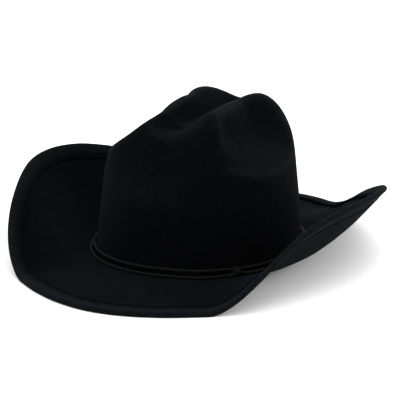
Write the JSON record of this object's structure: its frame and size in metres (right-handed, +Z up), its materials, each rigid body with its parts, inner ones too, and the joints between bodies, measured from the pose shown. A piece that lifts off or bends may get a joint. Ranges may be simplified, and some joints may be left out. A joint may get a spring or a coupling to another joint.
{
  "type": "cowboy hat",
  "caption": "Western felt hat with a creased crown, side-curled brim with a turned and stitched edge, and a knotted cord band that lifts off the crown.",
  "frame": {"origin": "centre of the hat's footprint on the surface it rests on", "axes": "+Z up the crown, -Y towards the hat's front, +X towards the wearer's left"},
  "size_m": [0.3248, 0.377, 0.136],
  "materials": {
    "wool_felt": "soft napped wool felt",
    "brim_wire": "plain drawn steel wire",
    "edge_thread": "spun polyester sewing thread",
    "sweatband": "smooth matt grain",
    "reed": "plain",
    "sweatband_thread": "sewing thread",
    "seam_tape": "grosgrain tape",
    "lining": "satin",
    "cord": "smooth round lace"
  },
  "bodies": {
    "hat": {"felt_body": "wool_felt", "brim_wire": "brim_wire", "brim_edge_stitching": "edge_thread", "sweatband": "sweatband", "sweatband_reed": "reed", "sweatband_stitching": "sweatband_thread", "sweatband_rear_seam": "seam_tape", "lining_side": "lining", "lining_tip": "lining"},
    "hat_band": {"band_cord_upper": "cord", "band_cord_lower": "cord", "band_knot": "cord", "band_tail_rear": "cord", "band_tail_front": "cord"}
  },
  "joints": [
    {"name": "band_lift_off", "type": "slide", "parent": "hat", "child": "hat_band", "axis": [0, 0, 1], "range_m": [0, 0.15]}
  ]
}
